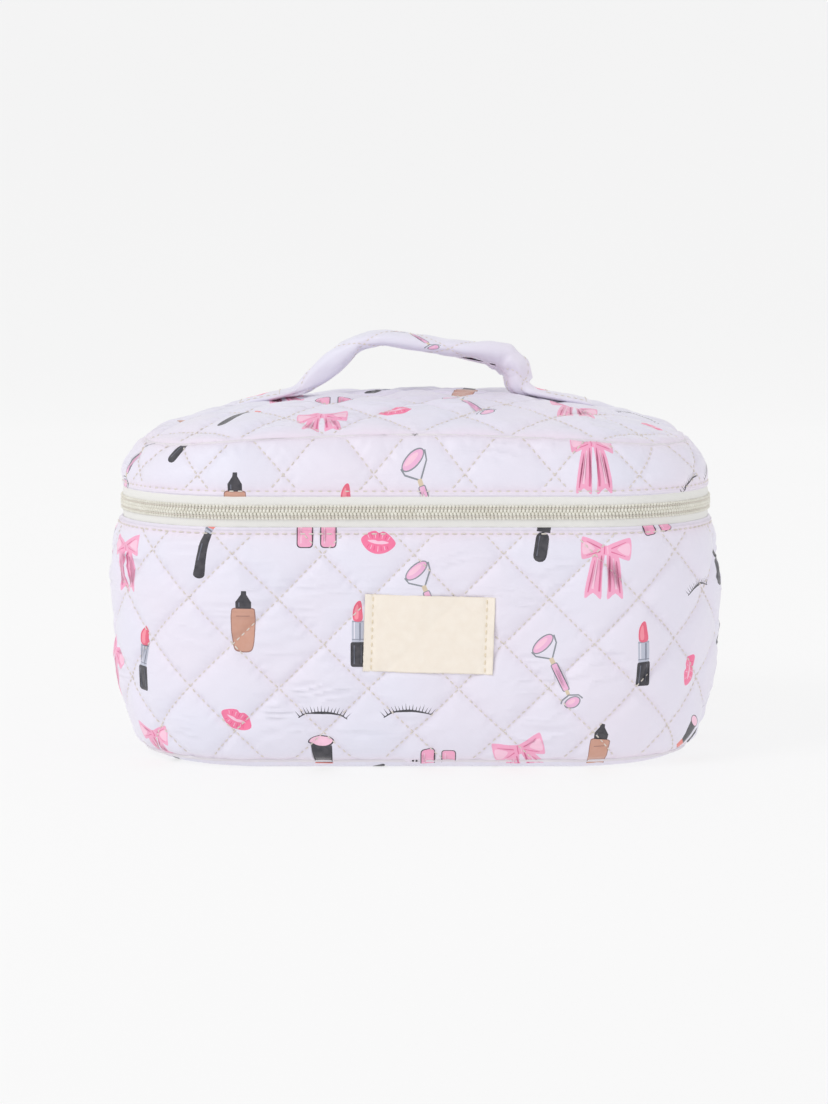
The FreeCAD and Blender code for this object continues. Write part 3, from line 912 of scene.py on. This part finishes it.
TOP_PRINT = printed(
    ("bow_short", -37.0, -51.0, 0, 1.05), ("kiss", -8.3, -45.5, 2), ("roller", 23.0, -38.0, 32),
    ("pair", -33.0, -26.0, 0), ("bow", 64.0, -26.0, 0), ("brush", -71.0, -42.0, -28),
    ("kiss", 96.0, -30.0, 30, 0.9), ("bottle", -92.0, -14.0, 20, 0.9)) \
    + scatter((-100.0, -8.0, 100.0, 62.0), 37.0, 12, [(64, -26), (-33, -26), (-92, -14), (96, -30)])


# painted shade in the folds of the lid top, along the quilting and the top seam
def top_fold_shade(x, y):
    return painted_fold_shade(x, y, TOP_PHASE, (lid_edge(x, y),))


top = cut_cloth("lid_top", lid_rim(), STEP, TOP_PRINT, crown_at, top_relief, top_fold_shade)
dress(top, SATIN, "lid", "printed_satin", "lid_top_panel", "lid_top_wadding")
dashes = quilt_dashes((-LID_A, -LID_B, LID_A, LID_B), TOP_PHASE,
                      lambda a, b: gauge(a, b, LID_A - 2, LID_B - 2, LID_R - 2) < 1)
dress(threads("lid_top_stitches", dashes, crown_at, top_relief, *QUILT_STITCH), THREAD, "lid", "white_thread")

# ---- zip
HINGE_HALF = 50.0
ZIP_END = AROUND / 2 - (HINGE_HALF + 1.5) * EASE          # where each end of the zip meets the hinge


def band(name, u0, u1, section, step=2.2, line=lambda z: 0.0):
    """Strip that runs round the bag: section is a list of (outward, height) points."""
    us = np.linspace(u0, u1, int(abs(u1 - u0) / step) + 2)
    x, y, nx, ny = ring(us)
    rows = []
    for k in range(len(us)):
        for out, z in section:
            o = out + line(z)
            rows.append((x[k] + nx[k] * o, y[k] + ny[k] * o, z))
    faces = tube_faces(len(us), len(section))
    return new_object(name, rows, [f[::-1] for f in faces[:-2]] + faces[-2:])


def rounded_section(out0, out1, z0, z1, r=0.25, n=3):
    """Closed section of a strip with rounded edges, outward from out0 to out1."""
    corners = ((out1 - r, z0 + r, -90), (out1 - r, z1 - r, 0), (out0 + r, z1 - r, 90), (out0 + r, z0 + r, 180))
    turns = [(cx, cz, math.radians(a + 90 * k / (n - 1))) for cx, cz, a in corners for k in range(n)]
    return [(cx + r * math.cos(t), cz + r * math.sin(t)) for cx, cz, t in turns]


def spaced(section, gap=0.8):
    """The same closed section with more points along its straight sides."""
    out = []
    for i, (a, b) in enumerate(section):
        c, d = section[(i + 1) % len(section)]
        n = max(1, int(math.hypot(c - a, d - b) / gap))
        out += [(a + (c - a) * k / n, b + (d - b) * k / n) for k in range(n)]
    return out


TAPE_WIDE, TAPE_GAP = 12.5, 0.15      # from the middle of the chain to a tape's two edges
for name, side, body, node, line in (
        ("zip_tape_lower", -1, "body", "lower_tape", lambda z: 0.0),
        ("zip_tape_upper", 1, "lid", "upper_tape", lambda z: min(0.0, float(lid_line(z)) + 0.6))):
    low, high = sorted((ZIP_Z + side * TAPE_WIDE, ZIP_Z + side * TAPE_GAP))
    section = spaced(rounded_section(-1.9, -0.8, low, high))
    dress(band(name, -ZIP_END, ZIP_END, section, line=line), TAPE, body, "zip_tape", node)

TOOTH = 1.45


def coil(name, side, body, node):
    """Half of the chain: one rounded nylon turn after another, waisted where the sewing holds it."""
    us = np.arange(-ZIP_END + 1, ZIP_END - 1, TOOTH) + (0.0 if side > 0 else TOOTH / 2)
    spans = np.array([-0.22, 0.05, 0.45, 0.9, 1.35, 1.62, 1.9, 2.3, 2.7, 2.95])
    fat = np.array([0.18, 0.40, 0.52, 0.50, 0.38, 0.30, 0.40, 0.50, 0.40, 0.16])
    phi = np.arange(6) * np.pi / 3
    x, y, nx, ny = ring(us)
    tx, ty = -ny, nx
    verts = []
    for s, f in zip(spans, fat):
        for p in phi:
            du = f * 1.42 * np.cos(p) + 0.14 * (s - 1.4)
            dn = -0.72 + f * 1.5 * np.sin(p) + (0.22 if abs(s - 1.62) > 0.3 else 0.0)
            verts.append(np.stack([x + tx * du + nx * dn, y + ty * du + ny * dn,
                                   np.full_like(x, ZIP_Z + side * s)], -1))
    verts = np.array(verts).transpose(1, 0, 2)
    one = tube_faces(len(spans), 6)
    if side > 0:
        one = [f[::-1] for f in one]
    faces = [tuple(n * len(spans) * 6 + q for q in f) for n in range(len(us)) for f in one]
    dress(new_object(name, verts.reshape(-1, 3), faces), NYLON, body, "coil_nylon", node)
    # the sewing that holds the turns down, a thread that rises and dips over each
    step = TOOTH / 4
    path = np.arange(-ZIP_END + 1, ZIP_END - 1, step)
    px, py, pnx, pny = ring(path)
    lift = -0.30 + 0.13 * np.cos(2 * np.pi * (path - us[0]) / TOOTH)
    rows = []
    for k in range(len(path)):
        for p in np.arange(5) * 2 * np.pi / 5:
            o = lift[k] + 0.17 * np.sin(p)
            rows.append((px[k] + pnx[k] * o, py[k] + pny[k] * o, ZIP_Z + side * 1.62 + 0.2 * np.cos(p)))
    thread = new_object(name + "_sewing", rows, grid_faces(len(path), 5, True))
    dress(thread, THREAD, body, "coil_nylon")


coil("coil_lower", -1, "body", "lower_coil")
coil("coil_upper", 1, "lid", "upper_coil")

# ---- inside: lining, bindings, base
def lining_relief(u, z):
    return 0.5 * noise(u / 26, z / 21, 71) + 0.25 * noise(u / 7, z / 15, 72)


def lining_shell(name, u_step, zs, line, depth, body, node):
    us = np.arange(0, AROUND, u_step)
    U, Z = np.meshgrid(us, zs)
    x, y, nx, ny = ring(U)
    o = line(Z) - depth + lining_relief(U, Z) * 0.6
    verts = np.stack([x + nx * o, y + ny * o, Z], -1).reshape(-1, 3)
    faces = grid_faces(len(zs), len(us), True)
    return dress(new_object(name, verts, faces), LINING, body, "lining", node)


lining_shell("body_lining_cloth", 2.6, np.arange(5.0, 97.1, 2.3), body_line, 4.7, "body", "body_lining")
lining_shell("lid_lining_cloth", 2.6, np.arange(109.2, 128.7, 1.6), lid_line, 4.7, "lid", "lid_strip_lining")
for name, section, line, body, node in (
        ("zip_binding_body", (-4.9, -2.0, 89.5, 97.9), body_line, "body", "lower_zip_binding"),
        ("zip_binding_lid", (-4.9, -2.0, 108.1, 116.5), lid_line, "lid", "upper_zip_binding"),
        ("base_binding_roll", (-16.2, -13.6, 4.5, 8.9), lambda z: 0.0, "body", "base_binding"),
        ("lid_binding_roll", (-17.6, -15.0, 123.8, 129.8), lambda z: 0.0, "lid", "lid_seam_binding")):
    roll = band(name, 0, AROUND, spaced(rounded_section(*section, 1.2, 4), 1.6), line=line)
    dress(roll, BINDING, body, "binding", node)


def seam_cord(name, out, z, lift, body):
    """Folded seam allowance that lies in the groove between two panels."""
    us = np.arange(0, AROUND, 1.6)
    x, y, nx, ny = ring(us)
    up = lift(x + nx * out)
    rows = []
    for k in range(len(us)):
        for p in np.arange(6) * np.pi / 3:
            o = out + 0.9 * math.cos(p)
            rows.append((x[k] + nx[k] * o, y[k] + ny[k] * o, z + up[k] + 0.9 * math.sin(p)))
    faces = [f[::-1] for f in grid_faces(len(us), 6, True)]
    last = (len(us) - 1) * 6
    faces += [(last + j, j, (j + 1) % 6, last + (j + 1) % 6)[::-1] for j in range(6)]
    dress(new_object(name, rows, faces), BINDING, body, "binding")


seam_cord("lid_seam_fold", -10.5, 129.4, seam_lift, "lid")
seam_cord("base_seam_fold", -9.3, 3.3, lambda x: 0 * x, "body")


def plan_border(off, step):
    """Points round the bag's outline moved in by off, as seen from above."""
    us = np.arange(0, AROUND, step)
    x, y, nx, ny = ring(us)
    return [(a, b) for a, b in zip(x - nx * off, y - ny * off)]


def base_edge(x, y):
    """Distance in from the base seam."""
    s = gauge(x, y, HALF_X - BASE_INSET, HALF_Y - BASE_INSET, CORNER - BASE_INSET)
    return np.maximum((1 - s) * (HALF_Y - BASE_INSET), 0)


def base_at(x, y, h):
    z = 4.4 * (1 - ramp(base_edge(x, y), -1.2, 4.6)) ** 1.2
    return np.stack([x, y, np.maximum(z - h, 0.0)], -1)


def base_relief(x, y):
    d = base_edge(x, y)
    q = quilt(x, y, BASE_PHASE, 1.0, 91)
    return np.minimum(q - 1.0, 0.0) * ramp(d, 3, 9) + 0.5 * noise(x / 9, y / 9, 92) * (1 - ramp(d, 0, 5))


# painted shade in the folds of the base, along the quilting
def base_fold_shade(x, y):
    return painted_fold_shade(x, y, BASE_PHASE, ())


base = cut_cloth("base_cloth", plan_border(8.5, 1.6), 1.6, scatter((-104, -60, 104, 60), 40.0, 17), base_at,
                 base_relief, base_fold_shade, flip=True)
dress(base, SATIN, "body", "printed_satin", "base_panel", "base_board", "base_wadding")


def lining_waves(x, y):
    return 0.6 * (0.6 * noise(x / 30, y / 26, 81) + 0.3 * noise(x / 9, y / 9, 82))


def floor_sheet(name, height, body, node, flip):
    """Lining across the base or under the crown."""
    inset, step = 13.0, 4.0
    obj = cut_cloth(name, plan_border(inset, step), step, [],
                    lambda x, y, h: np.stack([x, y, height(x, y) + h], -1), lining_waves,
                    lambda x, y: 0 * x, flip)
    return dress(obj, LINING, body, "lining", node)


floor_sheet("base_lining_cloth", lambda x, y: 5.0 + 0 * x, "body", "base_lining", False)
floor_sheet("lid_top_lining_cloth", lambda x, y: crown(x, y) - 5.2, "lid", "lid_top_lining", True)

# ---- fabric hinge at the back
half = AROUND / 2
zs = np.concatenate([np.arange(94.0, 98.5, 0.75), np.arange(98.5, 107.6, 0.35),
                     np.arange(107.6, 112.1, 0.75)])
hinge_reach = (HINGE_HALF + 1.35) * EASE      # stops a little short of the zip's ends
us = np.linspace(half - hinge_reach, half + hinge_reach, 90)
U, Z = np.meshgrid(us, zs)
x, y, nx, ny = ring(U)


def hinge_out(U, Z):
    """How far the hinge's cloth stands out, tucked in under the wall and the lid strip."""
    away = np.abs(Z - ZIP_Z)
    tuck = -1.35 * ramp(away, 5.2, 6.8)
    soft = 0.22 * noise(U / 5.5, Z / 3.5, 95) + 0.18 * noise(U / 2.2, Z / 9, 96)
    return 0.35 + tuck + soft * (1 - ramp(away, 5, 6.5)) + np.minimum(0, lid_line(Z) + 0.2) * (Z > ZIP_Z)


o = hinge_out(U, Z)
outer, inner = (np.stack([x + nx * d, y + ny * d, Z], -1) for d in (o, o - 1.5))
hinge = slab("fabric_hinge", outer, inner, len(zs), len(us))
bare = hinge.data.color_attributes.new("ink", "FLOAT_COLOR", "CORNER")
bare.data.foreach_set("color", np.tile(np.array([1.0, 1.0, 1.0, 0.0], np.float32), len(bare.data)))
hinge.data.materials.append(SATIN)
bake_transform(hinge)
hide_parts("hinge_strip_lower", "hinge_strip_upper")

# ---- label
def label_at(a, b, h):
    """Point of the label, a across and b up from its middle."""
    u = LABEL_X + a * math.cos(LABEL_TILT) + b * math.sin(LABEL_TILT)
    z = LABEL_Z - a * math.sin(LABEL_TILT) + b * math.cos(LABEL_TILT)
    under = 0.55 * wall_relief(u, z) + 0.75
    return wall_at(u, z, under + h)


def label_relief(a, b):
    edge_a, edge_b = LABEL_W / 2 - np.abs(a), LABEL_H / 2 - np.abs(b)
    curl = 0.5 * np.exp(-edge_b / 2.2) * noise(a / 9, b / 30, 101) + 0.25 * np.exp(-edge_a / 1.6)
    held = -0.45 * np.exp(-((edge_a - 3.2) / 0.8) ** 2)
    return 0.35 + curl + held + 0.18 * noise(a / 11, b / 7, 103)


na, nb = 86, 52
A, B = np.meshgrid(np.linspace(-LABEL_W / 2, LABEL_W / 2, na), np.linspace(-LABEL_H / 2, LABEL_H / 2, nb))
fray = 0.10 * noise(A * 1.7, B * 1.7, 104)
label = slab("label", label_at(A + fray, B + fray, label_relief(A, B)),
             label_at(A + fray, B + fray, label_relief(A, B) - 0.55), nb, na)
dress(label, CANVAS, "body", "label_canvas", "front_label")
for side, node in ((-1, "label_thread_left"), (1, "label_thread_right")):
    col = [(side * (LABEL_W / 2 - 3.2), b, 90.0) for b in np.arange(-LABEL_H / 2 + 1.6, LABEL_H / 2 - 1, 3.0)]
    dress(threads("label_stitches_" + ("left" if side < 0 else "right"), col, label_at,
                  label_relief, 2.2, 0.55, 0.18), CREAM, "body", "cream_thread", node)

# ---- handle
# x, height, half thickness, half width and twist in degrees of the strap, end to end
STRAP = np.array([
    (-74.0, 139.6, 0.6, 10.4, 0), (-73.2, 140.2, 1.7, 11.0, 0), (-68.0, 141.9, 2.0, 11.2, 0),
    (-60.0, 143.6, 2.0, 11.0, 0), (-54.0, 144.7, 1.9, 9.8, 0), (-50.0, 145.4, 1.8, 7.4, 0),
    (-47.2, 146.4, 2.8, 5.6, 2), (-44.4, 148.9, 3.9, 5.2, 4), (-40.4, 152.4, 4.7, 5.8, 5),
    (-34.6, 157.2, 5.2, 7.4, 4), (-28.6, 162.2, 4.7, 9.0, 0), (-24.0, 165.4, 3.4, 10.2, 0),
    (-19.5, 167.0, 3.4, 10.8, 0), (-12.5, 167.7, 3.7, 11.0, 0), (-5.0, 167.0, 3.8, 11.0, 0),
    (3.0, 165.6, 3.7, 11.0, 0), (12.0, 163.8, 3.6, 11.0, 4), (22.0, 162.5, 4.0, 10.8, 8),
    (29.0, 161.7, 4.4, 10.2, 14), (35.0, 160.2, 4.9, 9.0, 24), (40.0, 156.8, 5.5, 8.0, 34),
    (42.2, 152.8, 6.0, 6.8, 38), (42.6, 149.0, 5.9, 6.4, 30), (44.8, 146.2, 3.8, 6.6, 12),
    (50.0, 145.4, 1.9, 8.6, 0), (56.0, 144.4, 1.9, 10.6, 0), (64.0, 142.8, 2.0, 11.2, 0),
    (71.5, 141.1, 1.8, 11.0, 0), (73.2, 140.3, 0.6, 10.4, 0)])
steps = np.hypot(np.diff(STRAP[:, 0]), np.diff(STRAP[:, 1]))
reach = np.concatenate([[0], np.cumsum(steps)])
STRAP_LEN = reach[-1]
fine = np.linspace(0, STRAP_LEN, 700)
table = np.stack([np.interp(fine, reach, STRAP[:, k]) for k in range(5)])
kernel = np.exp(-0.5 * (np.arange(-16, 17) / 6.5) ** 2)
kernel /= kernel.sum()
for k in range(5):
    padded_row = np.concatenate([np.repeat(table[k, 0], 16), table[k], np.repeat(table[k, -1], 16)])
    table[k] = np.convolve(padded_row, kernel, mode="valid")
turn_x, turn_z = np.gradient(table[0], fine), np.gradient(table[1], fine)
GIRTH = 60.0                          # span of the second cloth coordinate round the strap
EASE_ROUND = 0.8                      # quilting drawn up round the strap
STRAP_PHASE = (12.0, 3.0)


def strap_at(s, v, h):
    """Point of the strap's cloth, s along it and v round it, 0 at the seam underneath."""
    x, z, thick, wide, twist = (np.interp(s, fine, table[k]) for k in range(5))
    dx, dz = np.interp(s, fine, turn_x), np.interp(s, fine, turn_z)
    size = np.hypot(dx, dz)
    dx, dz = dx / size, dz / size
    t = 2 * np.pi * v / GIRTH - np.pi / 2
    power = 0.8
    c, q = np.cos(t), np.sin(t)
    a = wide * np.sign(c) * np.abs(c) ** power + h * c
    b = thick * np.sign(q) * np.abs(q) ** power + h * q
    w = np.radians(twist)
    ra, rb = a * np.cos(w) - b * np.sin(w), a * np.sin(w) + b * np.cos(w)
    return np.stack([x - dz * rb, -ra, z + dx * rb], -1)


def strap_relief(s, v):
    free = ramp(s, 24, 36) * ramp(STRAP_LEN - s, 24, 34)
    ds, dt = line_gap(s, (v - GIRTH / 2) * EASE_ROUND, STRAP_PHASE)
    h = 0.75 * dip(ds, 2.6) * dip(dt, 2.6) - 0.75
    pinch = np.exp(-((s - 26) / 4.0) ** 2) + np.exp(-((STRAP_LEN - s - 27) / 4.5) ** 2)
    h = h + 0.7 * pinch * noise(s / 12, v / 3.6, 111)
    knee = np.exp(-((s - 63) / 6.0) ** 2) + 1.6 * np.exp(-((STRAP_LEN - s - 42) / 9.0) ** 2)
    h = h + 0.55 * knee * noise(s / 3.4, v / 9.0, 112) * free
    seam = np.minimum(v, GIRTH - v)
    return h - 0.5 * np.exp(-seam / 1.2) + 0.25 * noise(s / 8, v / 6, 113)


# painted shade in the folds of the strap, along the quilting and the seam underneath
def strap_fold_shade(s, v):
    return painted_fold_shade(s, (v - GIRTH / 2) * EASE_ROUND, STRAP_PHASE, (v, GIRTH - v))


STRAP_PRINT = printed(
    ("roller", 84.0, 20.0, 40, 0.85), ("kiss", 143.0, 28.0, 75, 0.8), ("stub", 118.0, 38.0, 80, 0.7),
    ("stub", 174.0, 24.0, 100, 0.8), ("lashes", 52.0, 38.0, 20, 0.8), ("kiss", 10.0, 35.0, 10, 0.8),
    ("bow_short", 100.0, 46.0, 190, 0.8))
strap = cut_cloth("handle_strap", frame_border(0.0, 0.0, STRAP_LEN, GIRTH, 1.0), 1.0, STRAP_PRINT, strap_at,
                  strap_relief, strap_fold_shade)
strap.data.materials.append(SATIN)
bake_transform(strap)
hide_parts("handle_cover", "handle_core", "handle_end_left", "handle_end_right")
dashes = quilt_dashes((30.0, -22.0, STRAP_LEN - 30.0, 22.0), STRAP_PHASE)


def strap_quilt_at(s, v, h):
    return strap_at(s, v / EASE_ROUND + GIRTH / 2, h)


strap_threads = threads("handle_stitches", dashes, strap_quilt_at,
                        lambda s, v: strap_relief(s, v / EASE_ROUND + GIRTH / 2), 1.8, 0.42, 0.1)
strap_threads.data.materials.append(THREAD)
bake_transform(strap_threads)
for side, node in ((-1, "handle_thread_left"), (1, "handle_thread_right")):
    s0, s1 = (3.5, 19.0) if side < 0 else (STRAP_LEN - 19.0, STRAP_LEN - 3.5)
    v0, v1 = GIRTH / 2 - 10.5, GIRTH / 2 + 10.5
    square = [(s, v, 0.0) for v in (v0, v1) for s in np.arange(s0, s1, 2.7)]
    square += [(s, v, 90.0) for s in (s0 - 1.0, s1) for v in np.arange(v0 + 0.5, v1, 2.7)]
    name = "handle_box_stitch_" + ("left" if side < 0 else "right")
    dress(threads(name, square, strap_at, strap_relief, 2.0, 0.48, 0.1), THREAD, "lid", "white_thread", node)

# ---- slider and pull keep their CAD shapes
for node in ("slider", "pull_tab"):
    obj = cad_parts[node]
    obj.data.materials.clear()
    obj.data.materials.append(METAL)

# ---- studio
def sweep():
    """Pale round floor that curves up into a wall on every side."""
    profile = [(0.02, 0.0), (0.5, 0.0), (1.0, 0.0), (1.7, 0.0)]
    curve = np.linspace(0.08, math.pi / 2, 16)
    profile += [(1.7 + 1.2 * math.sin(t), 1.2 - 1.2 * math.cos(t)) for t in curve]
    profile += [(2.9, 2.6), (2.9, 4.6)]
    turns = np.arange(72) * 2 * np.pi / 72
    rows = [(r * np.cos(t), r * np.sin(t), z) for r, z in profile for t in turns]
    faces = grid_faces(len(profile), 72, True) + [tuple(range(72))]
    obj = new_object("floor", np.array(rows) / MM, [f[::-1] for f in faces[:-1]] + faces[-1:])
    n = Nodes("paper_floor")
    color = n.mix(n.patches(3.0, 2.0), (0.19, 0.19, 0.19), (0.195, 0.195, 0.195))
    n.finish(color, 0.9, n.bump(n.noise(260.0, 3.0), 0.05, 0.0004), Emission_Color=(1.0, 1.0, 1.0),
             Emission_Strength=0.73)
    obj.data.materials.append(n.mat)


sweep()
scene = bpy.context.scene
world = bpy.data.worlds.new("studio")
scene.world = world
world.use_nodes = True
world.node_tree.nodes["Background"].inputs[0].default_value = (0.97, 0.975, 1.0, 1.0)
world.node_tree.nodes["Background"].inputs[1].default_value = 0.35
scene.view_settings.view_transform = "Standard"
scene.view_settings.look = "None"


def lamp(name, at, to, size, power, color=(1, 1, 1)):
    data = bpy.data.lights.new(name, "AREA")
    data.shape, data.size, data.energy, data.color = "SQUARE", size, power, color
    obj = bpy.data.objects.new(name, data)
    obj.location = at
    obj.rotation_euler = (Vector(to) - Vector(at)).to_track_quat("-Z", "Y").to_euler()
    scene.collection.objects.link(obj)


lamp("key", (-1.1, -0.9, 1.25), (0, 0, 0.08), 0.6, 7.6, (1.0, 0.99, 0.98))
lamp("fill", (1.3, -1.2, 0.8), (0, 0, 0.08), 1.2, 1.3, (0.97, 0.98, 1.0))
lamp("top", (0.1, 0.3, 1.7), (0, 0, 0.1), 1.2, 1.6)

cam_data = bpy.data.cameras.new("camera")
cam = bpy.data.objects.new("camera", cam_data)
scene.collection.objects.link(cam)
cam_data.sensor_fit, cam_data.sensor_width = "HORIZONTAL", 36.0
cam_data.lens = 136.9
cam_data.clip_end = 20.0
cam.location = (-0.0006, -1.300, 0.229)
cam.rotation_euler = (Vector((-0.0006, -0.075, 0.0875)) - cam.location).to_track_quat("-Z", "Y").to_euler()
scene.camera = cam
